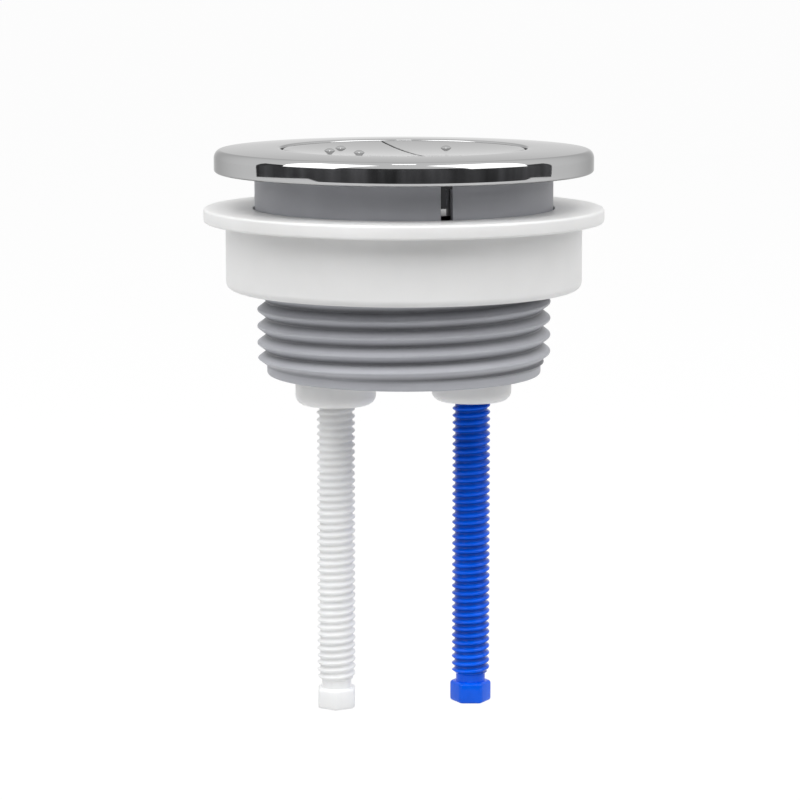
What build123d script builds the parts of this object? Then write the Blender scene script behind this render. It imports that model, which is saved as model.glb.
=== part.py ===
from build123d import *
import os
from math import sqrt

os.makedirs("parts", exist_ok=True)

# Dual flush push button for a cistern lid, in millimetres. +Z is up, along the actuator's axis.
# z = 0 is the top of the cistern lid, where the underside of the bezel rests. X runs through
# both rods: full flush at -X, half flush at +X.

# Clearances
slide_gap = 0.3          # between curved faces that slide past each other
fit_gap = 0.1            # between moulded pieces that are pushed together
split_gap = 0.5          # between the two halves of the push plate
seat_gap = 1.0           # between a spring seat and the inside of the barrel

# Bezel
bezel_overhang = 8.0     # the rim reaches this far beyond the body's collar
bezel_height = 4.8
bezel_top_fall = 0.35    # the top face drops this much from the opening to the rim
bezel_top_crown = 0.12   # and bulges this much above a straight slope
bezel_rim_round = 0.9
bezel_foot_round = 0.9
opening_round = 0.5
lip_width = 1.9          # the lip that keeps the buttons in
lip_thickness = 2.2
spigot_wall = 1.2
spigot_depth = 6.5
relief_margin = 2.4      # rim and land left beside the relief in the underside
collar_seat_depth = 0.8  # recess in the underside that takes the top of the body's collar
relief_depth = 2.4
relief_ribs = 12
relief_rib_width = 1.2

# Body
crest_radius = 29.1      # 58 mm thread
thread_depth = 1.5
thread_pitch = 3.3
thread_crest_width = 0.95
thread_root_width = 0.7
thread_phase = 3.055     # height of a crest at +X above the end of the thread
thread_runout = 2.0      # height of the cone that fades the crests into the plain end
plain_end_length = 1.6
plain_end_step = 0.4     # the plain end is this much smaller than the thread's root
barrel_wall = 2.0
body_length = 40.0
body_edge_round = 0.5
floor_thickness = 3.0
collar_step = 0.4        # the collar stands this far out beyond the crests
collar_wall = 2.0
collar_length = 12.0
collar_bore_depth = 8.0
slot_width = 2.4
slot_depth = 10.0
slot_angles = (94.5, 274.5)
key_depth = 1.2          # the bezel's keys reach this far down in the slots
key_setback = 0.5        # and end this far inside the collar's outside

# Nut
lid_gap = 7.0            # from the bezel down to the nut, at its upper stop
nut_height = 16.0
nut_wall = 5.85          # from the bore to the outside of the skirt
nut_flange_width = 4.35  # beyond the skirt
nut_flange_thickness = 2.75
nut_flange_round = 0.5
nut_skirt_round = 1.5
nut_root_round = 0.5
nut_bore_chamfer = 0.8

# Buttons
button_rim_height = 4.6
button_dish = 0.5        # depth of the hollow in the middle of the push plate
button_rim_round = 0.5
button_cap = 1.8
button_wall = 1.6
button_skirt_depth = 1.5
button_flange_thickness = 1.5
socket_wall = 1.7
drop_radius = 1.1        # raised drops that tell the two flushes apart
drop_height = 0.5
full_flush_drops = ((14.75, -0.8), (11.25, -7.9), (9.8, 4.2))
half_flush_drops = ((9.6, 5.1),)

# Plungers and rods
rod_radius = 3.8
rod_top_depth = 15.0
rod_top_chamfer = 0.7
rod_thread_end_depth = 101.9
rod_thread_fade = 0.8    # height of the cone from the thread's end to the neck
rod_neck_radius = 2.95
rod_neck_length = 1.5
rod_hex_flats = 7.4
rod_hex_height = 4.2
rod_hex_corner_round = 1.0
rod_hex_chamfer = 0.5
plunger_radius = 8.0
plunger_reach = 6.0      # below the body
plunger_end_round = 2.0
plunger_shoulder_depth = 6.0
plunger_neck_radius = 5.6
plunger_neck_length = 5.5
plunger_bore_chamfer = 0.6
spring_seat_width = 2.4  # beyond the plunger's tube
spring_seat_thickness = 2.0

# Springs
spring_wire_radius = 0.5
spring_wire_sides = 6    # the wire's round section is drawn with flats
spring_turns = 5
spring_pocket_depth = 0.8

# Sizes that follow from those above
root_radius = crest_radius - thread_depth
barrel_radius = root_radius - plain_end_step
barrel_inner_radius = barrel_radius - barrel_wall
collar_radius = crest_radius + collar_step
bezel_radius = collar_radius + bezel_overhang
collar_inner_radius = collar_radius - collar_wall
collar_seat_radius = collar_radius + fit_gap
spigot_radius = collar_inner_radius - fit_gap
spigot_inner_radius = spigot_radius - spigot_wall
opening_radius = spigot_inner_radius - lip_width
lip_underside = bezel_height - lip_thickness
bezel_rim_height = bezel_height - bezel_top_fall
floor_top = floor_thickness - body_length
button_radius = opening_radius - slide_gap
button_flange_radius = spigot_inner_radius - slide_gap
button_underside = button_rim_height - button_dish - button_cap
dish_radius = (button_radius**2 + button_dish**2) / (2 * button_dish)
plunger_bore_radius = rod_radius + slide_gap
guide_bore_radius = plunger_radius + slide_gap
socket_radius = plunger_neck_radius + fit_gap
spring_seat_radius = plunger_radius + spring_seat_width
spring_radius = (guide_bore_radius + spring_seat_radius) / 2
spring_bottom = floor_top - spring_pocket_depth
spring_top = -plunger_shoulder_depth - spring_seat_thickness
rod_x = barrel_inner_radius - seat_gap - spring_seat_radius
nut_bore_radius = crest_radius + slide_gap
nut_skirt_radius = nut_bore_radius + nut_wall
nut_flange_radius = nut_skirt_radius + nut_flange_width


def dish_height(distance):
    """Height of the dished push plate at a distance from the actuator's axis."""
    lowest = button_rim_height - button_dish
    return lowest + dish_radius - sqrt(dish_radius**2 - distance**2)


def corner_at(section, distance, height):
    """The corner of an upright section that lies at a distance from the axis and a height."""
    return section.vertices().sort_by_distance((distance, height))[0]


# Bezel ring: crowned top, lip over the buttons, spigot and keys that locate the body, and a
# relief in the underside between two lands, stiffened by ribs.
with BuildPart() as bezel_ring:
    with BuildSketch(Plane.XZ) as section:
        with BuildLine():
            opening_edge = (opening_radius, bezel_height)
            rim_edge = (bezel_radius, bezel_rim_height)
            crown = (
                (opening_radius + bezel_radius) / 2,
                (bezel_height + bezel_rim_height) / 2 + bezel_top_crown,
            )
            ThreePointArc(opening_edge, crown, rim_edge)
            Polyline(
                rim_edge,
                (bezel_radius, 0),
                (collar_seat_radius, 0),
                (collar_seat_radius, collar_seat_depth),
                (spigot_radius, collar_seat_depth),
                (spigot_radius, -spigot_depth),
                (spigot_inner_radius, -spigot_depth),
                (spigot_inner_radius, lip_underside),
                (opening_radius, lip_underside),
                opening_edge,
            )
        make_face()
        fillet(corner_at(section, bezel_radius, bezel_rim_height), bezel_rim_round)
        fillet(corner_at(section, bezel_radius, 0), bezel_foot_round)
        fillet(corner_at(section, opening_radius, bezel_height), opening_round)
    revolve(axis=Axis.Z)
    with BuildSketch() as relief:
        Circle(bezel_radius - relief_margin)
        Circle(collar_radius + relief_margin, mode=Mode.SUBTRACT)
        with PolarLocations(bezel_radius / 2, relief_ribs, start_angle=180 / relief_ribs):
            Rectangle(bezel_radius, relief_rib_width, mode=Mode.SUBTRACT)
    extrude(amount=relief_depth, mode=Mode.SUBTRACT)
    with BuildSketch(Plane.XY.offset(collar_seat_depth)) as keys:
        Circle(collar_radius - key_setback)
        Circle(spigot_radius - spigot_wall / 2, mode=Mode.SUBTRACT)
        with Locations([Location((0, 0), angle) for angle in slot_angles]):
            Rectangle(
                collar_radius,
                slot_width - 2 * fit_gap,
                align=(Align.MIN, Align.CENTER),
                mode=Mode.INTERSECT,
            )
    extrude(amount=-key_depth - collar_seat_depth)
bezel_ring.part.label = "bezel_ring"
export_step(bezel_ring.part, "parts/bezel_ring.step")

# Thread ridge of the body: a right-hand helix of trapezoid section whose foot is sunk in the
# core. A cone at its lower end and the collar at its upper end limit it.
thread_low = plain_end_length - body_length
thread_first_crest = thread_low + thread_phase - 2 * thread_pitch
ridge_sink = 0.4
flank_width = (thread_pitch - thread_crest_width - thread_root_width) / 2
flank_slope = flank_width / thread_depth
crest_half = thread_crest_width / 2
foot_half = crest_half + flank_slope * (thread_depth + ridge_sink)
foot_radius = root_radius - ridge_sink
with BuildPart() as thread_ridge:
    with BuildLine(Plane.XY.offset(thread_first_crest)) as helix:
        Helix(
            pitch=thread_pitch,
            height=-thread_first_crest - collar_length + thread_pitch / 2,
            radius=root_radius,
        )
    with BuildSketch(Plane.XZ):
        Polygon(
            (foot_radius, thread_first_crest - foot_half),
            (crest_radius, thread_first_crest - crest_half),
            (crest_radius, thread_first_crest + crest_half),
            (foot_radius, thread_first_crest + foot_half),
            align=None,
        )
    sweep(path=helix.line, is_frenet=True)
    with BuildSketch(Plane.XZ):
        Polygon(
            (0, thread_low),
            (barrel_radius - ridge_sink, thread_low),
            (crest_radius + ridge_sink, thread_low + thread_runout),
            (crest_radius + ridge_sink, -collar_length + ridge_sink),
            (0, -collar_length + ridge_sink),
            align=None,
        )
    revolve(axis=Axis.Z, mode=Mode.INTERSECT)

# Threaded body: an open cup with a plain collar at the top, two slots for the bezel's keys,
# the thread, a plain end, and a floor with a guide bore and a spring pocket for each plunger.
with BuildPart() as threaded_body:
    with BuildSketch(Plane.XZ) as section:
        Polygon(
            (0, -body_length),
            (barrel_radius, -body_length),
            (barrel_radius, thread_low),
            (root_radius, thread_low + (root_radius - barrel_radius)),
            (root_radius, -collar_length),
            (collar_radius, -collar_length),
            (collar_radius, collar_seat_depth),
            (collar_inner_radius, collar_seat_depth),
            (collar_inner_radius, -collar_bore_depth),
            (barrel_inner_radius, -collar_bore_depth - (collar_inner_radius - barrel_inner_radius)),
            (barrel_inner_radius, floor_top),
            (0, floor_top),
            align=None,
        )
        fillet(corner_at(section, barrel_radius, -body_length), body_edge_round)
    revolve(axis=Axis.Z)
    add(thread_ridge.part)
    with BuildSketch(Plane.XY.offset(-slot_depth)) as slots:
        Circle(collar_radius + slide_gap)
        Circle(barrel_inner_radius - slide_gap, mode=Mode.SUBTRACT)
        with Locations([Location((0, 0), angle) for angle in slot_angles]):
            Rectangle(
                collar_radius + slide_gap,
                slot_width,
                align=(Align.MIN, Align.CENTER),
                mode=Mode.INTERSECT,
            )
    extrude(amount=slot_depth + collar_seat_depth, mode=Mode.SUBTRACT)
    with BuildSketch(Plane.XY.offset(-body_length)):
        with GridLocations(2 * rod_x, 0, 2, 1):
            Circle(guide_bore_radius)
    extrude(amount=floor_thickness, mode=Mode.SUBTRACT)
    with BuildSketch(Plane.XY.offset(spring_bottom)):
        with GridLocations(2 * rod_x, 0, 2, 1):
            Circle(spring_seat_radius + fit_gap)
    extrude(amount=spring_pocket_depth, mode=Mode.SUBTRACT)
threaded_body.part.label = "threaded_body"
export_step(threaded_body.part, "parts/threaded_body.step")

# Clamp nut: flange, round skirt, and a bore that clears the thread, with a counterbore over the
# collar. The shoulder between the two meets the collar's lower edge at the nut's upper stop.
with BuildPart() as clamp_nut:
    nut_top = -lid_gap
    nut_bottom = nut_top - nut_height
    flange_bottom = nut_top - nut_flange_thickness
    counterbore_radius = collar_radius + slide_gap
    with BuildSketch(Plane.XZ) as section:
        Polygon(
            (counterbore_radius, nut_top),
            (nut_flange_radius, nut_top),
            (nut_flange_radius, flange_bottom),
            (nut_skirt_radius, flange_bottom),
            (nut_skirt_radius, nut_bottom),
            (nut_bore_radius, nut_bottom),
            (nut_bore_radius, -collar_length),
            (counterbore_radius, -collar_length),
            align=None,
        )
        for height in (nut_top, flange_bottom):
            fillet(corner_at(section, nut_flange_radius, height), nut_flange_round)
        fillet(corner_at(section, nut_skirt_radius, flange_bottom), nut_root_round)
        fillet(corner_at(section, nut_skirt_radius, nut_bottom), nut_skirt_round)
        chamfer(corner_at(section, nut_bore_radius, nut_bottom), nut_bore_chamfer)
    revolve(axis=Axis.Z)
clamp_nut.part.label = "clamp_nut"
export_step(clamp_nut.part, "parts/clamp_nut.step")

# Each flush has its own half of the push plate, plunger, spring and rod. They are drawn with X
# outwards in a frame that faces each side in turn. The drops are (outwards, sideways) places.
flushes = (
    ("full_flush", 180, 18.5, full_flush_drops),
    ("half_flush", 0, 48.5, half_flush_drops),
)

for flush, facing_angle, hex_corner_angle, drop_places in flushes:
    facing = Plane.XY.rotated((0, 0, facing_angle))
    upright = Plane(origin=(0, 0, 0), x_dir=facing.x_dir, z_dir=-facing.y_dir)
    rod_place = tuple(facing.x_dir * rod_x)

    # Button: half of a dished plate, hollow underneath, with a flange that the bezel's lip
    # stops and a socket for the plunger.
    with BuildPart() as button:
        with BuildSketch(upright) as section:
            with BuildLine():
                Polyline(
                    (0, button_rim_height - button_dish),
                    (0, -button_skirt_depth),
                    (button_radius, -button_skirt_depth),
                    (button_radius, button_rim_height),
                )
                RadiusArc(
                    (button_radius, button_rim_height),
                    (0, button_rim_height - button_dish),
                    dish_radius,
                )
            make_face()
            fillet(corner_at(section, button_radius, button_rim_height), button_rim_round)
        revolve(axis=Axis.Z)
        with BuildSketch(Plane.XY.offset(lip_underside - button_flange_thickness)):
            Circle(button_flange_radius)
        extrude(amount=button_flange_thickness)
        with BuildSketch(facing.offset(-button_skirt_depth)):
            with Locations((split_gap / 2 + button_wall, 0)):
                Rectangle(button_radius, 2 * button_radius, align=(Align.MIN, Align.CENTER))
            Circle(button_radius - button_wall, mode=Mode.INTERSECT)
        extrude(amount=button_skirt_depth + button_underside, mode=Mode.SUBTRACT)
        with BuildSketch(facing.offset(-plunger_shoulder_depth)):
            with Locations((rod_x, 0)):
                Circle(socket_radius + socket_wall)
                Circle(socket_radius, mode=Mode.SUBTRACT)
        extrude(amount=plunger_shoulder_depth + button_underside)
        with BuildSketch(facing.offset(-plunger_shoulder_depth)):
            with Locations((split_gap / 2, 0)):
                Rectangle(
                    button_flange_radius, 2 * button_flange_radius, align=(Align.MIN, Align.CENTER)
                )
        extrude(amount=plunger_shoulder_depth + bezel_height, mode=Mode.INTERSECT)
        ball_radius = (drop_radius**2 + drop_height**2) / (2 * drop_height)
        for outwards, sideways in drop_places:
            plate_height = dish_height(sqrt(outwards**2 + sideways**2))
            ball_centre = plate_height + drop_height - ball_radius
            with Locations(facing.offset(ball_centre).location * Location((outwards, sideways, 0))):
                Sphere(ball_radius)
    button.part.label = flush + "_button"
    export_step(button.part, "parts/" + flush + "_button.step")

    # Plunger: a tube that slides in the body's floor, with a spring seat under the button's
    # socket, a neck in the socket and a bore for the rod.
    with BuildPart() as plunger:
        with BuildSketch(upright) as section:
            shoulder = -plunger_shoulder_depth
            plunger_end = -body_length - plunger_reach
            Polygon(
                (rod_x + plunger_bore_radius, shoulder + plunger_neck_length),
                (rod_x + plunger_neck_radius, shoulder + plunger_neck_length),
                (rod_x + plunger_neck_radius, shoulder),
                (rod_x + spring_seat_radius, shoulder),
                (rod_x + spring_seat_radius, spring_top),
                (rod_x + plunger_radius, spring_top),
                (rod_x + plunger_radius, plunger_end),
                (rod_x + plunger_bore_radius, plunger_end),
                align=None,
            )
            fillet(corner_at(section, rod_x + plunger_radius, plunger_end), plunger_end_round)
            chamfer(corner_at(section, rod_x + plunger_bore_radius, plunger_end), plunger_bore_chamfer)
        revolve(axis=Axis(rod_place, (0, 0, 1)))
    plunger.part.label = flush + "_plunger"
    export_step(plunger.part, "parts/" + flush + "_plunger.step")

    # Return spring: a wire helix with ends ground flat on its two seats.
    with BuildPart() as spring:
        spring_height = spring_top - spring_bottom
        with BuildLine(Plane.XY.offset(spring_bottom)) as coil:
            Helix(
                pitch=spring_height / spring_turns,
                height=spring_height,
                radius=spring_radius,
                center=rod_place,
            )
        with BuildSketch(Plane.XZ):
            with Locations((rod_place[0] + spring_radius, spring_bottom)):
                RegularPolygon(spring_wire_radius, spring_wire_sides)
        sweep(path=coil.line, is_frenet=True)
        split(bisect_by=Plane.XY.offset(spring_bottom), keep=Keep.TOP)
        split(bisect_by=Plane.XY.offset(spring_top), keep=Keep.BOTTOM)
    spring.part.label = flush + "_spring"
    export_step(spring.part, "parts/" + flush + "_spring.step")

    # Rod: threaded stem at its crest size, that tapers to a short neck above a softened hexagon.
    with BuildPart() as rod:
        hex_top = -rod_thread_end_depth - rod_neck_length
        with BuildSketch(Plane.XY.offset(hex_top)) as hexagon:
            with Locations(rod_place):
                RegularPolygon(rod_hex_flats / 2, 6, major_radius=False, rotation=hex_corner_angle)
            fillet(hexagon.vertices(), rod_hex_corner_round)
        extrude(amount=-rod_hex_height)
        for end_face in (rod.faces().sort_by(Axis.Z)[0], rod.faces().sort_by(Axis.Z)[-1]):
            chamfer(end_face.edges(), rod_hex_chamfer)
        with BuildSketch(upright) as section:
            Polygon(
                (rod_x, -rod_top_depth),
                (rod_x + rod_radius, -rod_top_depth),
                (rod_x + rod_radius, -rod_thread_end_depth + rod_thread_fade),
                (rod_x + rod_neck_radius, -rod_thread_end_depth),
                (rod_x + rod_neck_radius, hex_top),
                (rod_x, hex_top),
                align=None,
            )
            chamfer(corner_at(section, rod_x + rod_radius, -rod_top_depth), rod_top_chamfer)
        revolve(axis=Axis(rod_place, (0, 0, 1)))
    rod.part.label = flush + "_rod"
    export_step(rod.part, "parts/" + flush + "_rod.step")
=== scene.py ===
import bpy
import bmesh
import math
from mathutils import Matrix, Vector


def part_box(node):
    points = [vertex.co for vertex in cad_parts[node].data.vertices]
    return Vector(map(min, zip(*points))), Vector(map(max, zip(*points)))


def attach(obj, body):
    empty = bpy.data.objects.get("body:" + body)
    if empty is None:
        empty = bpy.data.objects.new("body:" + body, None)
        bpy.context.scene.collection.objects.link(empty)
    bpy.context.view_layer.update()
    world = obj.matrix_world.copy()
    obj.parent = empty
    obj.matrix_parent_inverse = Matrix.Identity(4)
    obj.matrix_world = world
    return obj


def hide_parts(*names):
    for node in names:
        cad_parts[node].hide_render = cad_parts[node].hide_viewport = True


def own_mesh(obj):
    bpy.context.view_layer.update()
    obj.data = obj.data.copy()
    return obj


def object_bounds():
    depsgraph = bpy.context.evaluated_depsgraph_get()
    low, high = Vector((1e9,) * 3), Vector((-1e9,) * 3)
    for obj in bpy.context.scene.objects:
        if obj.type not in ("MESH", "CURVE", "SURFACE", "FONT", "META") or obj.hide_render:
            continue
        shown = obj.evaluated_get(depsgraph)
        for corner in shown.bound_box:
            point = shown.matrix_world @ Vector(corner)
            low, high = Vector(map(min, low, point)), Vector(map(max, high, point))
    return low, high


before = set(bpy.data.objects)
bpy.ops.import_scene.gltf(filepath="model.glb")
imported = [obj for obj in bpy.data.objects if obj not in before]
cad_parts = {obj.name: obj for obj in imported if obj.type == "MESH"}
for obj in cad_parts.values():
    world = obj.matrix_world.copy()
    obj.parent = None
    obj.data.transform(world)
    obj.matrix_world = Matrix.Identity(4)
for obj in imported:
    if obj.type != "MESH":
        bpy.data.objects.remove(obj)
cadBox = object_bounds()

mm = 0.001  # sizes below are in millimetres, the scene is in metres
tiny = 0.0005  # vertices closer than this are one
cutLimit = tiny / 5  # a cut takes vertices this close to its plane as lying on it
cutReach = 1.0  # cutters reach this far past what they cut
spareTurns = 2  # turns of a helix beyond its length, which the level cuts take off again
fullTurn = 2 * math.pi


def boxOf(node):
    low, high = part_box(node)
    return low / mm, high / mm


def middleX(node):
    low, high = boxOf(node)
    return (low.x + high.x) / 2


rodPlaces = {flush: middleX(flush + "_plunger") for flush in ("full_flush", "half_flush")}

# Camera: in front, a little to the left and just above the bezel
cameraSet = {"azimuth": -11.5, "distance": 631.5, "height": 48.8, "tilt": 8.5, "pan": 0.07,
             "lens": 144.0, "sensor": 36.0}


def addCamera():
    c = cameraSet
    turn = math.radians(c["azimuth"])
    place = Vector((math.sin(turn) * c["distance"], -math.cos(turn) * c["distance"], c["height"]))
    aim = (math.radians(90 - c["tilt"]), 0, math.radians(c["azimuth"] + c["pan"]))
    bpy.ops.object.camera_add(location=place * mm, rotation=aim)
    camera = bpy.context.object
    camera.name = "photoCamera"
    camera.data.lens = c["lens"]
    camera.data.sensor_width = c["sensor"]
    bpy.context.scene.camera = camera


addCamera()
print("camera placed")


# Modelling helpers


def startClean():
    bpy.ops.object.select_all(action="DESELECT")


def workOn(piece):
    startClean()
    piece.select_set(True)
    bpy.context.view_layer.objects.active = piece


def openEdit(piece):
    workOn(piece)
    bpy.ops.object.mode_set(mode="EDIT")
    bpy.ops.mesh.select_all(action="SELECT")


def closeEdit():
    bpy.ops.object.mode_set(mode="OBJECT")


def weld():
    bpy.ops.mesh.select_all(action="SELECT")
    bpy.ops.mesh.remove_doubles(threshold=tiny * mm)
    bpy.ops.mesh.normals_make_consistent(inside=False)


def pickVertices(piece, test):
    # selects the vertices, and the edges between them, whose place in mm passes the test
    bpy.ops.mesh.select_all(action="DESELECT")
    bpy.ops.mesh.select_mode(type="VERT")
    mesh = bmesh.from_edit_mesh(piece.data)
    for vertex in mesh.verts:
        vertex.select = test(vertex.co / mm)
    mesh.select_flush(True)
    bmesh.update_edit_mesh(piece.data)


def applyModifier(piece, kind, **settings):
    workOn(piece)
    bpy.ops.object.modifier_add(type=kind)
    modifier = piece.modifiers[-1]
    for setting, value in settings.items():
        setattr(modifier, setting, value)
    bpy.ops.object.modifier_apply(modifier=modifier.name)


def drawOutline(name, corners, isClosed=True, roundSteps=6):
    # one vertex extruded from corner to corner in the XZ plane; a corner's third value rounds it
    startClean()
    bpy.ops.mesh.primitive_plane_add(size=mm)
    piece = bpy.context.object
    piece.name = name
    openEdit(piece)
    bpy.ops.mesh.merge(type="CENTER")
    x, z = corners[0][:2]
    bpy.ops.transform.translate(value=(x * mm, 0, z * mm))
    for corner in corners[1:]:
        step = ((corner[0] - x) * mm, 0, (corner[1] - z) * mm)
        bpy.ops.mesh.extrude_vertices_move(TRANSFORM_OT_translate={"value": step})
        x, z = corner[:2]
    if isClosed:
        pickVertices(piece, lambda p: near(p, corners[0]) or near(p, corners[-1]))
        bpy.ops.mesh.edge_face_add()
    for corner in corners:
        if len(corner) > 2:
            pickVertices(piece, lambda p: near(p, corner))
            bpy.ops.mesh.bevel(offset=corner[2] * mm, segments=roundSteps, affect="VERTICES")
    return piece


def near(point, corner):
    return abs(point.x - corner[0]) < tiny and abs(point.z - corner[1]) < tiny


def turned(name, corners, sides, x=0.0, roundSteps=6):
    # an outline spun all the way round an upright axis
    piece = drawOutline(name, corners, roundSteps=roundSteps)
    bpy.ops.mesh.select_all(action="SELECT")
    bpy.ops.mesh.spin(steps=sides, angle=fullTurn, center=(0, 0, 0), axis=(0, 0, 1))
    weld()
    bpy.ops.transform.translate(value=(x * mm, 0, 0))
    closeEdit()
    return piece


def cutLevel(height, keepAbove):
    bpy.ops.mesh.select_all(action="SELECT")
    bpy.ops.mesh.bisect(plane_co=(0, 0, height * mm), plane_no=(0, 0, 1), use_fill=True,
                        clear_inner=keepAbove, clear_outer=not keepAbove, threshold=cutLimit * mm)


def threadSolid(name, thread, low, high, x=0.0):
    # one pitch of the thread's outline, screwed up the axis and cut level at both ends
    pitch, root, crest = thread["pitch"], thread["root"], thread["crest"]
    rootHalf, crestHalf = thread["rootWidth"] / 2, thread["crestWidth"] / 2
    pitchesDown = math.ceil((thread["crestAtX"] - low) / pitch) + 1
    start = thread["crestAtX"] - pitchesDown * pitch
    outline = [
        (root, start - pitch / 2),
        (root, start - pitch / 2 + rootHalf, thread["rootRound"]),
        (crest, start - crestHalf, thread["crestRound"]),
        (crest, start + crestHalf, thread["crestRound"]),
        (root, start + pitch / 2 - rootHalf, thread["rootRound"]),
        (root, start + pitch / 2),
    ]
    piece = drawOutline(name, outline, isClosed=False, roundSteps=thread["roundSteps"])
    closeEdit()
    turns = math.ceil((high - start) / pitch) + spareTurns
    applyModifier(piece, "SCREW", axis="Z", screw_offset=pitch * mm, iterations=turns,
                  steps=thread["sides"], render_steps=thread["sides"], use_smooth_shade=False)
    openEdit(piece)
    weld()
    cutLevel(low, True)
    cutLevel(high, False)
    weld()
    bpy.ops.transform.translate(value=(x * mm, 0, 0))
    closeEdit()
    return piece


def block(name, low, high, turn=0.0):
    startClean()
    middle = [(a + b) / 2 * mm for a, b in zip(low, high)]
    bpy.ops.mesh.primitive_cube_add(size=1, location=middle)
    piece = bpy.context.object
    piece.name = name
    piece.scale = [(b - a) * mm for a, b in zip(low, high)]
    bpy.ops.object.transform_apply()
    piece.rotation_euler.z = math.radians(turn)
    bpy.ops.object.transform_apply()
    return piece


def combine(piece, tool, operation):
    applyModifier(piece, "BOOLEAN", object=tool, operation=operation, solver="EXACT")
    bpy.data.objects.remove(tool)


def finishPiece(piece, node, body, material, angle=30):
    openEdit(piece)
    weld()
    closeEdit()
    bpy.ops.object.shade_smooth_by_angle(angle=math.radians(angle))
    piece.data.materials.clear()
    piece.data.materials.append(material)
    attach(piece, body)
    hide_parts(node)
    print("made", piece.name, "with", len(piece.data.polygons), "faces")


# Materials: procedural, laid out on the Object coordinates of each piece
noiseDetail = {"mottle": 3, "grain": 2, "wave": 1, "film": 2, "folds": 3}
rampEnds = (0.3, 0.7)  # a noise below the first gives the low colour, above the second the high one


def newMaterial(name):
    material = bpy.data.materials.new(name)
    material.use_nodes = True
    return material, material.node_tree.nodes, material.node_tree.links


def scaledPlace(nodes, links, scale, shift=0.0):
    # Object coordinates, drawn out or flattened along some of the axes and moved along X
    place = nodes.new("ShaderNodeTexCoord")
    mapping = nodes.new("ShaderNodeMapping")
    mapping.inputs["Scale"].default_value = scale
    mapping.inputs["Location"].default_value = (shift * mm, 0, 0)
    links.new(place.outputs["Object"], mapping.inputs["Vector"])
    return mapping.outputs["Vector"]


def addNoise(nodes, links, scale, detail, stretch=(1, 1, 1)):
    noise = nodes.new("ShaderNodeTexNoise")
    noise.inputs["Scale"].default_value = scale
    noise.inputs["Detail"].default_value = detail
    links.new(scaledPlace(nodes, links, stretch), noise.inputs["Vector"])
    return noise


def addRamp(nodes, links, noise, lowColour, highColour, socket):
    ramp = nodes.new("ShaderNodeValToRGB")
    for stop, place, colour in zip(ramp.color_ramp.elements, rampEnds, (lowColour, highColour)):
        stop.position = place
        stop.color = (*colour, 1)
    links.new(noise.outputs["Fac"], ramp.inputs["Fac"])
    links.new(ramp.outputs["Color"], socket)


def rangeOf(nodes, links, source, low, high):
    # 0 at the low value and 1 at the high one
    reach = nodes.new("ShaderNodeMapRange")
    reach.inputs["From Min"].default_value = low * mm
    reach.inputs["From Max"].default_value = high * mm
    links.new(source, reach.inputs["Value"])
    return reach.outputs["Result"]


def paintShadeInGrooves(nodes, links, shader, groove):
    # painted shade in the roots of a thread: darker colour by the distance from its axis, and none
    # below it
    distance = nodes.new("ShaderNodeVectorMath")
    distance.operation = "LENGTH"
    links.new(scaledPlace(nodes, links, (1, 1, 0), -groove["axis"]), distance.inputs[0])
    ramp = nodes.new("ShaderNodeValToRGB")
    first, last = groove["inside"], groove["outside"]
    stops = ramp.color_ramp.elements
    stops.new((groove["root"] - first) / (last - first))
    for stop, level in zip(stops, (1, groove["paintedShade"], 1)):
        stop.color = (level, level, level, 1)
    links.new(rangeOf(nodes, links, distance.outputs["Value"], first, last), ramp.inputs["Fac"])
    parts = nodes.new("ShaderNodeSeparateXYZ")
    links.new(scaledPlace(nodes, links, (1, 1, 1)), parts.inputs["Vector"])
    mix = nodes.new("ShaderNodeMix")
    mix.data_type = "RGBA"
    mix.blend_type = "MULTIPLY"
    above = rangeOf(nodes, links, parts.outputs["Z"], groove["low"], groove["low"] + groove["fade"])
    links.new(above, mix.inputs["Factor"])
    base = shader.inputs["Base Color"]
    links.new(base.links[0].from_socket, mix.inputs["A"])
    links.new(ramp.outputs["Color"], mix.inputs["B"])
    links.new(mix.outputs["Result"], base)


def addBump(nodes, links, noise, depth, shader, below=None):
    bump = nodes.new("ShaderNodeBump")
    bump.inputs["Distance"].default_value = depth * mm
    links.new(noise.outputs["Fac"], bump.inputs["Height"])
    if below:
        links.new(below.outputs["Normal"], bump.inputs["Normal"])
    links.new(bump.outputs["Normal"], shader.inputs["Normal"])
    return bump


def moulded(name, look):
    # moulded plastic: faint mottle, satin grain, slow waves and, on a thread, painted shade in the
    # roots
    material, nodes, links = newMaterial(name)
    shader = nodes["Principled BSDF"]
    mottle = addNoise(nodes, links, look["mottleScale"], noiseDetail["mottle"])
    addRamp(nodes, links, mottle, look["dark"], look["light"], shader.inputs["Base Color"])
    grain = addNoise(nodes, links, look["grainScale"], noiseDetail["grain"])
    smooth, rough = look["roughness"]
    addRamp(nodes, links, grain, (smooth,) * 3, (rough,) * 3, shader.inputs["Roughness"])
    wave = addNoise(nodes, links, look["waveScale"], noiseDetail["wave"])
    waves = addBump(nodes, links, wave, look["waveDepth"], shader)
    addBump(nodes, links, grain, look["grainDepth"], shader, waves)
    shader.inputs["IOR"].default_value = look["ior"]
    shader.inputs["Specular IOR Level"].default_value = look["shine"]
    shader.inputs["Subsurface Weight"].default_value = look["scatter"]
    shader.inputs["Subsurface Radius"].default_value = look["scatterColour"]
    shader.inputs["Subsurface Scale"].default_value = look["scatterReach"] * mm
    # painted shade in the roots of a thread
    if "groove" in look:
        paintShadeInGrooves(nodes, links, shader, look["groove"])
    return material


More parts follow.
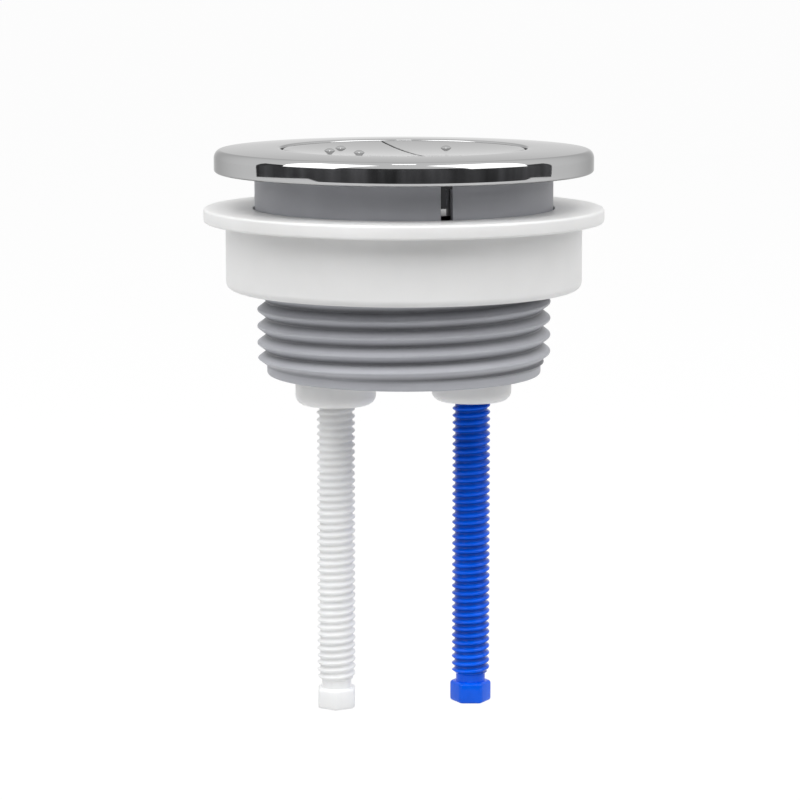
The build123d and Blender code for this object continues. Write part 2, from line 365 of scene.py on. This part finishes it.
def metal(name, look):
    # bright metal: a faint film in colour and gloss, and very slow waves
    material, nodes, links = newMaterial(name)
    shader = nodes["Principled BSDF"]
    shader.inputs["Metallic"].default_value = 1.0
    shader.inputs["Specular Tint"].default_value = (*look["edge"], 1)
    film = addNoise(nodes, links, look["filmScale"], noiseDetail["film"])
    addRamp(nodes, links, film, look["dark"], look["light"], shader.inputs["Base Color"])
    smooth, rough = look["roughness"]
    addRamp(nodes, links, film, (smooth,) * 3, (rough,) * 3, shader.inputs["Roughness"])
    wave = addNoise(nodes, links, look["waveScale"], noiseDetail["wave"])
    addBump(nodes, links, wave, look["waveDepth"], shader)
    return material


chromePlate = metal("chromePlate", {
    "dark": (0.465, 0.466, 0.468), "light": (0.500, 0.501, 0.503), "edge": (0.56, 0.56, 0.56),
    "roughness": (0.03, 0.06), "filmScale": 60, "waveScale": 90, "waveDepth": 0.012})
springSteel = metal("springSteel", {
    "dark": (0.40, 0.40, 0.39), "light": (0.60, 0.60, 0.58), "edge": (0.75, 0.75, 0.74),
    "roughness": (0.22, 0.38), "filmScale": 900, "waveScale": 1500, "waveDepth": 0.01})
greyMoulded = moulded("greyMoulded", {
    "dark": (0.450, 0.457, 0.490), "light": (0.482, 0.490, 0.524), "mottleScale": 120,
    "roughness": (0.42, 0.55), "grainScale": 2600, "grainDepth": 0.010,
    "waveScale": 110, "waveDepth": 0.03, "ior": 1.49, "shine": 0.5,
    "scatter": 0.0, "scatterColour": (1, 1, 1), "scatterReach": 0.5,
    # painted shade in the roots of the body's thread
    "groove": {"axis": 0, "inside": 26.3, "root": 27.35, "outside": 28.6, "paintedShade": 0.42,
               "low": -38.5, "fade": 0.8}})
whiteNutMoulded = moulded("whiteNutMoulded", {
    "dark": (0.82, 0.82, 0.815), "light": (0.87, 0.87, 0.865), "mottleScale": 60,
    "roughness": (0.30, 0.40), "grainScale": 2200, "grainDepth": 0.006,
    "waveScale": 70, "waveDepth": 0.04, "ior": 1.49, "shine": 0.5,
    "scatter": 0.2, "scatterColour": (1, 0.95, 0.9), "scatterReach": 3})
whitePlungerMoulded = moulded("whitePlungerMoulded", {
    "dark": (0.88, 0.88, 0.87), "light": (0.93, 0.93, 0.92), "mottleScale": 120,
    "roughness": (0.32, 0.42), "grainScale": 2600, "grainDepth": 0.006,
    "waveScale": 150, "waveDepth": 0.02, "ior": 1.49, "shine": 0.5,
    "scatter": 0.2, "scatterColour": (1, 0.95, 0.9), "scatterReach": 2})
naturalRodMoulded = moulded("naturalRodMoulded", {
    "dark": (0.89, 0.895, 0.895), "light": (0.94, 0.945, 0.945), "mottleScale": 150,
    "roughness": (0.28, 0.38), "grainScale": 2600, "grainDepth": 0.005,
    "waveScale": 300, "waveDepth": 0.02, "ior": 1.5, "shine": 0.5,
    "scatter": 0.7, "scatterColour": (1, 0.98, 0.95), "scatterReach": 4,
    # faint painted shade in the roots of the rod's thread
    "groove": {"axis": rodPlaces["full_flush"], "inside": 2.95, "root": 3.25, "outside": 3.7,
               "paintedShade": 0.90, "low": -101.8, "fade": 0.5}})
blueRodMoulded = moulded("blueRodMoulded", {
    "dark": (0.0005, 0.100, 0.76), "light": (0.0010, 0.138, 0.96), "mottleScale": 150,
    "roughness": (0.10, 0.16), "grainScale": 2600, "grainDepth": 0.005,
    "waveScale": 300, "waveDepth": 0.02, "ior": 1.5, "shine": 0.18,
    "scatter": 0.0, "scatterColour": (0.2, 0.4, 1), "scatterReach": 1,
    # painted shade in the roots of the rod's thread
    "groove": {"axis": rodPlaces["half_flush"], "inside": 2.95, "root": 3.25, "outside": 3.75,
               "paintedShade": 0.58, "low": -101.8, "fade": 0.5}})
print("materials ready")


# Bezel: crowned ring with a lip over the buttons, a spigot with keys, and a ribbed relief below
bezelSet = {"topFall": 0.35, "crown": 0.087, "crownSteps": 10, "rimRound": 1.6, "footRound": 0.7,
            "openingRadius": 24.3, "openingRound": 0.5, "lip": 2.2, "seatRadius": 29.6,
            "seatDepth": 0.8, "spigotRadius": 27.4, "spigotWall": 1.2, "reliefInner": 31.9,
            "reliefOuter": 35.1, "reliefDepth": 2.4, "ribCount": 12, "ribWidth": 1.2,
            "keyWidth": 2.2, "keyDepth": 1.2, "keyRadius": 29.0, "edgeRound": 0.15,
            "ribSink": 0.4, "keySink": 0.6, "joinRise": 0.3, "roundSteps": 8, "sides": 384}
slotOffset = 4.5  # the body's slots, and the keys in them, stand this many degrees off the Y axis
slotTurns = (slotOffset + 90, slotOffset - 90)


def makeBezel():
    b = bezelSet
    low, high = boxOf("bezel_ring")
    opening, rim, top = b["openingRadius"], high.x, high.z
    spigotInner = b["spigotRadius"] - b["spigotWall"]
    edge = b["edgeRound"]
    crown = []  # a low parabola over the slope that falls to the rim
    for step in range(1, b["crownSteps"]):
        share = step / b["crownSteps"]
        bulge = 4 * share * (1 - share) * b["crown"]
        crown.append((opening + (rim - opening) * share, top - b["topFall"] * share + bulge))
    outline = [(opening, top, b["openingRound"])] + crown + [
        (rim, top - b["topFall"], b["rimRound"]),
        (rim, 0, b["footRound"]),
        (b["reliefOuter"], 0, edge),
        (b["reliefOuter"], b["reliefDepth"]),
        (b["reliefInner"], b["reliefDepth"]),
        (b["reliefInner"], 0, edge),
        (b["seatRadius"], 0, edge),
        (b["seatRadius"], b["seatDepth"]),
        (b["spigotRadius"], b["seatDepth"]),
        (b["spigotRadius"], low.z, edge),
        (spigotInner, low.z, edge),
        (spigotInner, top - b["lip"]),
        (opening, top - b["lip"], edge),
    ]
    piece = turned("bezelPlated", outline, b["sides"], roundSteps=b["roundSteps"])
    ribHalf = b["ribWidth"] / 2
    for index in range(b["ribCount"]):
        turn = 360 * (index + 0.5) / b["ribCount"]
        rib = block("bezelRib", (b["reliefInner"] - b["ribSink"], -ribHalf, 0),
                    (b["reliefOuter"] + b["ribSink"], ribHalf, b["reliefDepth"] + b["joinRise"]),
                    turn)
        combine(piece, rib, "UNION")
    keyHalf = b["keyWidth"] / 2
    for turn in slotTurns:
        key = block("bezelKey", (b["spigotRadius"] - b["keySink"], -keyHalf, -b["keyDepth"]),
                    (b["keyRadius"], keyHalf, b["seatDepth"] + b["joinRise"]), turn)
        combine(piece, key, "UNION")
    finishPiece(piece, "bezel_ring", "housing", chromePlate)


makeBezel()


# Body: collar with two slots, coarse thread that runs out over a plain end, and a drilled floor
bodySet = {"collarLength": 12.0, "collarWall": 2.0, "collarBoreDepth": 8.0, "collarRound": 0.3,
           "barrelRadius": 27.2, "barrelWall": 2.0, "endRound": 0.5, "plainEnd": 1.6, "floor": 3.0,
           "core": 27.0, "runout": 2.0, "coneDepth": 0.4, "slotWidth": 2.4, "slotDepth": 10.0,
           "bore": 8.3, "pocket": 10.5, "pocketDepth": 0.8, "coreStep": 0.2, "topRound": 0.15,
           "floorRound": 0.5, "coneSink": 0.2, "collarSink": 0.8, "slotSink": 0.3,
           "boreSides": 96, "sides": 256}
bodyThread = {"pitch": 3.3, "root": 27.35, "crest": 29.1, "rootWidth": 0.3, "crestWidth": 0.4,
              "rootRound": 0.1, "crestRound": 0.16, "roundSteps": 4, "crestAtX": -28.745,
              "sides": 192}


def makeBody():
    b = bodySet
    low, high = boxOf("threaded_body")
    collar, top, bottom = high.x, high.z, low.z
    plainTop = bottom + b["plainEnd"]
    collarInner = collar - b["collarWall"]
    barrelInner = b["barrelRadius"] - b["barrelWall"]
    floorTop = bottom + b["floor"]
    outline = [
        (0, bottom),
        (b["barrelRadius"], bottom, b["endRound"]),
        (b["barrelRadius"], plainTop + b["coneDepth"]),
        (b["core"], plainTop + b["coneDepth"] + b["coreStep"]),
        (b["core"], -b["collarLength"]),
        (collar, -b["collarLength"], b["collarRound"]),
        (collar, top, b["topRound"]),
        (0, top),
    ]
    piece = turned("bodyMoulded", outline, b["sides"])
    cone = [
        (0, plainTop),
        (b["barrelRadius"] - b["coneDepth"], plainTop),
        (bodyThread["crest"] + b["coneDepth"], plainTop + b["runout"]),
        (bodyThread["crest"] + b["coneDepth"], -b["collarLength"] + b["coneDepth"]),
        (0, -b["collarLength"] + b["coneDepth"]),
    ]
    thread = threadSolid("bodyThread", bodyThread, plainTop - b["coneSink"],
                         -b["collarLength"] + b["collarSink"])
    combine(thread, turned("bodyRunout", cone, b["sides"]), "INTERSECT")
    combine(piece, thread, "UNION")
    cavity = [
        (0, top + cutReach),
        (collarInner, top + cutReach),
        (collarInner, -b["collarBoreDepth"]),
        (barrelInner, -b["collarBoreDepth"] - (collarInner - barrelInner)),
        (barrelInner, floorTop, b["floorRound"]),
        (0, floorTop),
    ]
    combine(piece, turned("bodyCavity", cavity, b["sides"]), "DIFFERENCE")
    slotHalf = b["slotWidth"] / 2
    for turn in slotTurns:
        slot = block("bodySlot", (barrelInner - b["slotSink"], -slotHalf, -b["slotDepth"]),
                     (collar + cutReach, slotHalf, top + cutReach), turn)
        combine(piece, slot, "DIFFERENCE")
    bore = [
        (0, bottom - cutReach),
        (b["bore"], bottom - cutReach),
        (b["bore"], floorTop - b["pocketDepth"]),
        (b["pocket"], floorTop - b["pocketDepth"]),
        (b["pocket"], floorTop + cutReach),
        (0, floorTop + cutReach),
    ]
    for rodX in rodPlaces.values():
        combine(piece, turned("bodyBore", bore, b["boreSides"], rodX), "DIFFERENCE")
    finishPiece(piece, "threaded_body", "housing", greyMoulded)


makeBody()


# Nut: flange, round skirt and a threaded bore with a counterbore over the collar
nutSet = {"flangeThickness": 2.75, "flangeRound": 0.5, "skirtRadius": 35.25, "skirtRound": 1.5,
          "rootRound": 0.5, "topRound": 0.2, "counterbore": 29.8, "shoulder": -12.0,
          "bore": 29.4, "chamfer": 0.8, "sides": 320}
nutThread = {"pitch": 3.3, "root": 29.2, "crest": 30.7, "rootWidth": 0.9, "crestWidth": 0.7,
             "rootRound": 0.2, "crestRound": 0.2, "roundSteps": 2, "crestAtX": -30.395,
             "sides": 160}


def makeNut():
    n = nutSet
    low, high = boxOf("clamp_nut")
    flangeLow = high.z - n["flangeThickness"]
    outline = [
        (n["counterbore"], high.z, n["topRound"]),
        (high.x, high.z, n["flangeRound"]),
        (high.x, flangeLow, n["flangeRound"]),
        (n["skirtRadius"], flangeLow, n["rootRound"]),
        (n["skirtRadius"], low.z, n["skirtRound"]),
        (n["bore"] + n["chamfer"], low.z),
        (n["bore"], low.z + n["chamfer"]),
        (n["bore"], n["shoulder"]),
        (n["counterbore"], n["shoulder"]),
    ]
    piece = turned("nutMoulded", outline, n["sides"])
    groove = threadSolid("nutGroove", nutThread, low.z - cutReach, n["shoulder"])
    combine(piece, groove, "DIFFERENCE")
    finishPiece(piece, "clamp_nut", "nut", whiteNutMoulded)


makeNut()


# Buttons: halves of a dished plate, hollow below, with a flange under the bezel's lip
buttonSet = {"rimHeight": 4.6, "dish": 0.5, "dishSteps": 14, "rimRound": 0.5, "radius": 24.0,
             "cap": 1.8, "wall": 1.6, "skirtDepth": 1.5, "flangeTop": 2.6, "flangeThickness": 1.5,
             "flangeRadius": 25.9, "flangeRound": 0.2, "splitHalf": 0.25, "splitRound": 0.12,
             "splitSteps": 4, "splitReach": 0.05, "socketRadius": 5.7, "socketWall": 1.7,
             "socketDepth": 6.0, "socketSides": 96, "joinRise": 0.5, "sides": 320,
             "dropRadius": 1.1, "dropHeight": 0.5, "dropSides": 48, "dropRings": 32}
# each drop's distance from the split and along it
dropPlaces = {"full_flush": ((14.75, -0.8), (11.25, -7.9), (9.8, 4.2)),
              "half_flush": ((9.6, 5.1),)}


def dishHeight(distance):
    b = buttonSet
    return b["rimHeight"] - b["dish"] + b["dish"] * (distance / b["radius"]) ** 2


def makeButton(flush, side):
    b = buttonSet
    underside = b["rimHeight"] - b["dish"] - b["cap"]
    joinTop = underside + b["joinRise"]
    dish = []
    for step in range(1, b["dishSteps"] + 1):
        distance = b["radius"] * (1 - step / b["dishSteps"])
        dish.append((distance, dishHeight(distance)))
    outline = [
        (0, underside),
        (b["radius"] - b["wall"], underside),
        (b["radius"] - b["wall"], -b["skirtDepth"]),
        (b["radius"], -b["skirtDepth"]),
        (b["radius"], b["flangeTop"] - b["flangeThickness"]),
        (b["flangeRadius"], b["flangeTop"] - b["flangeThickness"]),
        (b["flangeRadius"], b["flangeTop"], b["flangeRound"]),
        (b["radius"], b["flangeTop"]),
        (b["radius"], b["rimHeight"], b["rimRound"]),
    ] + dish
    piece = turned(flush.split("_")[0] + "ButtonPlated", outline, b["sides"])
    openEdit(piece)
    splitX = side * b["splitHalf"]
    bpy.ops.mesh.bisect(plane_co=(splitX * mm, 0, 0), plane_no=(side, 0, 0), use_fill=True,
                        clear_inner=True, threshold=cutLimit * mm)
    topLimit = dishHeight(0) - b["splitReach"]
    pickVertices(piece, lambda p: abs(p.x - splitX) < tiny and p.z > topLimit)
    bpy.ops.mesh.bevel(offset=b["splitRound"] * mm, segments=b["splitSteps"], affect="EDGES")
    closeEdit()
    # a wall along the split, whose ends lie inside the round skirt
    reach = math.sqrt((b["radius"] - b["wall"] / 2) ** 2 - b["wall"] ** 2)
    wallEnds = sorted((splitX, splitX + side * b["wall"]))
    wall = block("buttonWall", (wallEnds[0], -reach, -b["skirtDepth"]),
                 (wallEnds[1], reach, joinTop))
    combine(piece, wall, "UNION")
    socket = [
        (b["socketRadius"], -b["socketDepth"]),
        (b["socketRadius"] + b["socketWall"], -b["socketDepth"]),
        (b["socketRadius"] + b["socketWall"], joinTop),
        (b["socketRadius"], joinTop),
    ]
    combine(piece, turned("buttonSocket", socket, b["socketSides"], rodPlaces[flush]), "UNION")
    # each drop is the cap of a ball, as wide and high as the drop
    ball = (b["dropRadius"] ** 2 + b["dropHeight"] ** 2) / (2 * b["dropHeight"])
    for outwards, sideways in dropPlaces[flush]:
        height = dishHeight(math.hypot(outwards, sideways)) + b["dropHeight"] - ball
        startClean()
        bpy.ops.mesh.primitive_uv_sphere_add(
            segments=b["dropSides"], ring_count=b["dropRings"], radius=ball * mm,
            location=(side * outwards * mm, side * sideways * mm, height * mm))
        drop = bpy.context.object
        bpy.ops.object.transform_apply()
        combine(piece, drop, "UNION")
    finishPiece(piece, flush + "_button", flush + "_push", chromePlate)


# Plungers: tubes with a spring seat, a neck for the button's socket and a bore for the rod
plungerSet = {"bore": 4.1, "chamfer": 0.6, "neck": 5.6, "neckLength": 5.5, "seat": 10.4,
              "seatThickness": 2.0, "tube": 8.0, "endRound": 2.0, "edgeRound": 0.3, "sides": 96}


def makePlunger(flush):
    p = plungerSet
    low, high = boxOf(flush + "_plunger")
    seatTop = high.z - p["neckLength"]
    seatLow = seatTop - p["seatThickness"]
    outline = [
        (p["bore"], high.z),
        (p["neck"], high.z, p["edgeRound"]),
        (p["neck"], seatTop),
        (p["seat"], seatTop, p["edgeRound"]),
        (p["seat"], seatLow, p["edgeRound"]),
        (p["tube"], seatLow),
        (p["tube"], low.z, p["endRound"]),
        (p["bore"] + p["chamfer"], low.z),
        (p["bore"], low.z + p["chamfer"]),
    ]
    piece = turned(flush.split("_")[0] + "PlungerMoulded", outline, p["sides"], rodPlaces[flush])
    finishPiece(piece, flush + "_plunger", flush + "_push", whitePlungerMoulded)


# Springs: round wire between the floor's pocket and the plunger's seat, ground flat at both ends
springSet = {"wire": 0.5, "wireSides": 12, "turns": 5, "radius": 9.35, "steps": 64, "travel": 6.0}


def makeSpring(flush):
    s = springSet
    low, high = boxOf(flush + "_spring")
    height = high.z - low.z
    pitch = height / s["turns"]
    startClean()
    bpy.ops.mesh.primitive_circle_add(
        vertices=s["wireSides"], radius=s["wire"] * mm, rotation=(math.pi / 2, 0, 0),
        location=(s["radius"] * mm, 0, (low.z - pitch) * mm))
    piece = bpy.context.object
    piece.name = flush.split("_")[0] + "SpringWire"
    bpy.ops.object.transform_apply()
    applyModifier(piece, "SCREW", axis="Z", screw_offset=pitch * mm,
                  iterations=s["turns"] + spareTurns, steps=s["steps"], render_steps=s["steps"],
                  use_smooth_shade=False)
    openEdit(piece)
    weld()
    cutLevel(low.z, True)
    cutLevel(high.z, False)
    bpy.ops.mesh.select_all(action="SELECT")
    bpy.ops.transform.translate(value=(rodPlaces[flush] * mm, 0, 0))
    closeEdit()
    finishPiece(piece, flush + "_spring", "housing", springSteel)
    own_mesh(piece)


# Rods: threaded stem that tapers to a short neck, and a hexagon end with soft edges
rodSet = {"threadLength": 86.9, "topChamfer": 0.7, "fade": 0.8, "neck": 2.95, "neckLength": 1.5,
          "hexFlats": 7.4, "hexCornerRound": 1.0, "hexCornerSteps": 5, "hexEndRound": 0.6,
          "hexEndSteps": 4, "crestMargin": 0.05, "threadSink": 0.5, "neckSink": 1.0,
          "neckRise": 0.4, "endSides": 96, "neckSides": 60, "smoothAngle": 40}
rodThread = {"pitch": 1.45, "root": 3.25, "crest": 3.8, "rootWidth": 0.4, "crestWidth": 0.3,
             "rootRound": 0.1, "crestRound": 0.12, "roundSteps": 2, "crestAtX": -100.5,
             "sides": 48}
rodLooks = {
    "full_flush": {"hexTurn": 18.5, "slot": "natural_rod", "material": naturalRodMoulded},
    "half_flush": {"hexTurn": 48.5, "slot": "blue_rod", "material": blueRodMoulded}}
hexSides = 6


def makeHexagon(x, low, high, turn):
    # a circle's first corner lies on +Y, so a turn counted from +X starts 90 degrees back
    r = rodSet
    cornerHalf = math.pi / hexSides
    startClean()
    bpy.ops.mesh.primitive_circle_add(
        vertices=hexSides, radius=r["hexFlats"] / 2 / math.cos(cornerHalf) * mm,
        fill_type="NGON", location=(x * mm, 0, low * mm),
        rotation=(0, 0, math.radians(turn - 90)))
    piece = bpy.context.object
    bpy.ops.object.transform_apply()
    openEdit(piece)
    cornerReach = r["hexCornerRound"] * math.tan(cornerHalf)
    bpy.ops.mesh.bevel(offset=cornerReach * mm, segments=r["hexCornerSteps"], affect="VERTICES")
    bpy.ops.mesh.select_all(action="SELECT")
    lift = (0, 0, (high - low) * mm)
    bpy.ops.mesh.extrude_region_move(TRANSFORM_OT_translate={"value": lift})
    weld()
    for level in (low, high):
        pickVertices(piece, lambda p: abs(p.z - level) < tiny)
        bpy.ops.mesh.bevel(offset=r["hexEndRound"] * mm, segments=r["hexEndSteps"],
                           affect="EDGES")
    closeEdit()
    return piece


def makeRod(flush):
    r, look = rodSet, rodLooks[flush]
    low, high = boxOf(flush + "_rod")
    x = rodPlaces[flush]
    crest = rodThread["crest"] + r["crestMargin"]
    threadLow = high.z - r["threadLength"]
    hexTop = threadLow - r["neckLength"]
    rod = threadSolid(flush.split("_")[0] + "RodMoulded", rodThread, threadLow - r["threadSink"],
                      high.z, x)
    envelope = [
        (0, threadLow),
        (r["neck"], threadLow),
        (crest, threadLow + r["fade"]),
        (crest, high.z - r["topChamfer"]),
        (crest - r["topChamfer"], high.z),
        (0, high.z),
    ]
    combine(rod, turned("rodEnds", envelope, r["endSides"], x), "INTERSECT")
    neck = [
        (0, hexTop - r["neckSink"]),
        (r["neck"], hexTop - r["neckSink"]),
        (r["neck"], threadLow + r["neckRise"]),
        (0, threadLow + r["neckRise"]),
    ]
    tip = makeHexagon(x, low.z, hexTop, look["hexTurn"])
    combine(tip, turned("rodNeck", neck, r["neckSides"], x), "UNION")
    combine(rod, tip, "UNION")
    finishPiece(rod, flush + "_rod", flush + "_stem", look["material"],
                angle=r["smoothAngle"])


makeButton("full_flush", -1)
makeButton("half_flush", 1)
for flushName in rodPlaces:
    makePlunger(flushName)
    makeSpring(flushName)
for flushName in rodPlaces:
    makeRod(flushName)


# Studio: white floor and surroundings, two soft boxes at the sides, a small one above, a front
# fill that no gloss shows, and a dark screen on the photographer's side
studioSet = {"floorDrop": 55, "floorWidth": 60000, "floorBack": 60000, "floorFront": 450,
             "paperTone": 0.7, "paperRoughness": 0.9, "glow": 1.08, "glowShare": 0.87,
             "screenRadius": 1300, "screenHalfTurn": 98, "screenLow": -600, "screenHigh": 640,
             "screenSteps": 64, "foldScale": 3.2, "foldStretch": 0.08,
             "clothDark": (0.015, 0.015, 0.016), "clothLight": (0.20, 0.20, 0.21),
             "clothRoughness": 0.9, "world": 0.30, "worldSeen": 1.0, "boxDistance": 1150}
# turn from the camera and height in degrees, size in millimetres, and radiance
softBoxes = {
    "leftSoftBox": {"azimuth": -60, "elevation": 41, "size": (780, 1100), "level": 2.4},
    "rightSoftBox": {"azimuth": 60, "elevation": 41, "size": (860, 1100), "level": 2.3},
    "topSoftBox": {"azimuth": 0, "elevation": 88, "size": (150, 150), "level": 3.0},
    "frontFill": {"azimuth": -4, "elevation": 52, "size": (1000, 760), "level": 3.0,
                  "inGloss": False}}
seenRays = ("Is Camera Ray", "Is Glossy Ray", "Is Transmission Ray")


def pathMix(nodes, links, first, second, rays):
    # the first shader for the named kinds of ray, the second for all others
    path = nodes.new("ShaderNodeLightPath")
    total = path.outputs[rays[0]]
    for ray in rays[1:]:
        adder = nodes.new("ShaderNodeMath")
        adder.operation = "MAXIMUM"
        links.new(total, adder.inputs[0])
        links.new(path.outputs[ray], adder.inputs[1])
        total = adder.outputs[0]
    mix = nodes.new("ShaderNodeMixShader")
    links.new(total, mix.inputs["Fac"])
    links.new(second.outputs[0], mix.inputs[1])
    links.new(first.outputs[0], mix.inputs[2])
    return mix


def addFloor():
    s = studioSet
    low = cadBox[0][2] / mm - s["floorDrop"]
    startClean()
    bpy.ops.mesh.primitive_plane_add(size=1)
    floor = bpy.context.object
    floor.name = "studioFloor"
    floor.scale = (s["floorWidth"] * mm, (s["floorBack"] + s["floorFront"]) * mm, 1)
    floor.location = (0, (s["floorBack"] - s["floorFront"]) / 2 * mm, low * mm)
    bpy.ops.object.transform_apply()
    material, nodes, links = newMaterial("floorPaper")
    paper = nodes["Principled BSDF"]
    paper.inputs["Base Color"].default_value = (*(s["paperTone"],) * 3, 1)
    paper.inputs["Roughness"].default_value = s["paperRoughness"]
    glow = nodes.new("ShaderNodeEmission")
    glow.inputs["Strength"].default_value = s["glow"]
    seen = nodes.new("ShaderNodeMixShader")
    seen.inputs["Fac"].default_value = s["glowShare"]
    links.new(paper.outputs[0], seen.inputs[1])
    links.new(glow.outputs[0], seen.inputs[2])
    mix = pathMix(nodes, links, seen, paper, seenRays)
    links.new(mix.outputs[0], nodes["Material Output"].inputs["Surface"])
    floor.data.materials.append(material)


def addScreen():
    # a dark curved screen that the camera doesn't see: the plated rim and the gloss pick it up
    s = studioSet
    outline = [(s["screenRadius"], s["screenLow"]), (s["screenRadius"], s["screenHigh"])]
    screen = drawOutline("darkScreen", outline, isClosed=False)
    bpy.ops.mesh.select_all(action="SELECT")
    bpy.ops.mesh.spin(steps=s["screenSteps"], angle=math.radians(2 * s["screenHalfTurn"]),
                      center=(0, 0, 0), axis=(0, 0, 1))
    closeEdit()
    middle = cameraSet["azimuth"] - 90
    screen.rotation_euler.z = math.radians(middle + s["screenHalfTurn"])
    bpy.ops.object.transform_apply()
    screen.visible_camera = False
    material, nodes, links = newMaterial("darkCloth")
    cloth = nodes["Principled BSDF"]
    folds = addNoise(nodes, links, s["foldScale"], noiseDetail["folds"], (1, 1, s["foldStretch"]))
    addRamp(nodes, links, folds, s["clothDark"], s["clothLight"], cloth.inputs["Base Color"])
    cloth.inputs["Roughness"].default_value = s["clothRoughness"]
    screen.data.materials.append(material)


def addSoftBox(name, box):
    turn = math.radians(cameraSet["azimuth"] + box["azimuth"])
    rise = math.radians(box["elevation"])
    width, height = (side * mm for side in box["size"])
    towards = Vector((math.sin(turn) * math.cos(rise), -math.cos(turn) * math.cos(rise),
                      math.sin(rise)))
    aim = (-towards).to_track_quat("-Z", "Y").to_euler()
    place = towards * studioSet["boxDistance"] * mm
    bpy.ops.object.light_add(type="AREA", location=place, rotation=aim)
    light = bpy.context.object
    light.name = name
    light.data.shape = "RECTANGLE"
    light.data.size = width
    light.data.size_y = height
    light.data.energy = box["level"] * math.pi * width * height
    light.visible_glossy = box.get("inGloss", True)


def addWorld():
    world = bpy.data.worlds.new("studioWorld")
    bpy.context.scene.world = world
    world.use_nodes = True
    nodes, links = world.node_tree.nodes, world.node_tree.links
    dim = nodes["Background"]
    dim.inputs["Color"].default_value = (1, 1, 1, 1)
    dim.inputs["Strength"].default_value = studioSet["world"]
    bright = nodes.new("ShaderNodeBackground")
    bright.inputs["Color"].default_value = (1, 1, 1, 1)
    bright.inputs["Strength"].default_value = studioSet["worldSeen"]
    mix = pathMix(nodes, links, bright, dim, seenRays)
    links.new(mix.outputs[0], nodes["World Output"].inputs["Surface"])


addFloor()
addScreen()
addWorld()
for boxName, boxLook in softBoxes.items():
    addSoftBox(boxName, boxLook)
bpy.context.scene.view_settings.view_transform = "Standard"
print("studio ready")
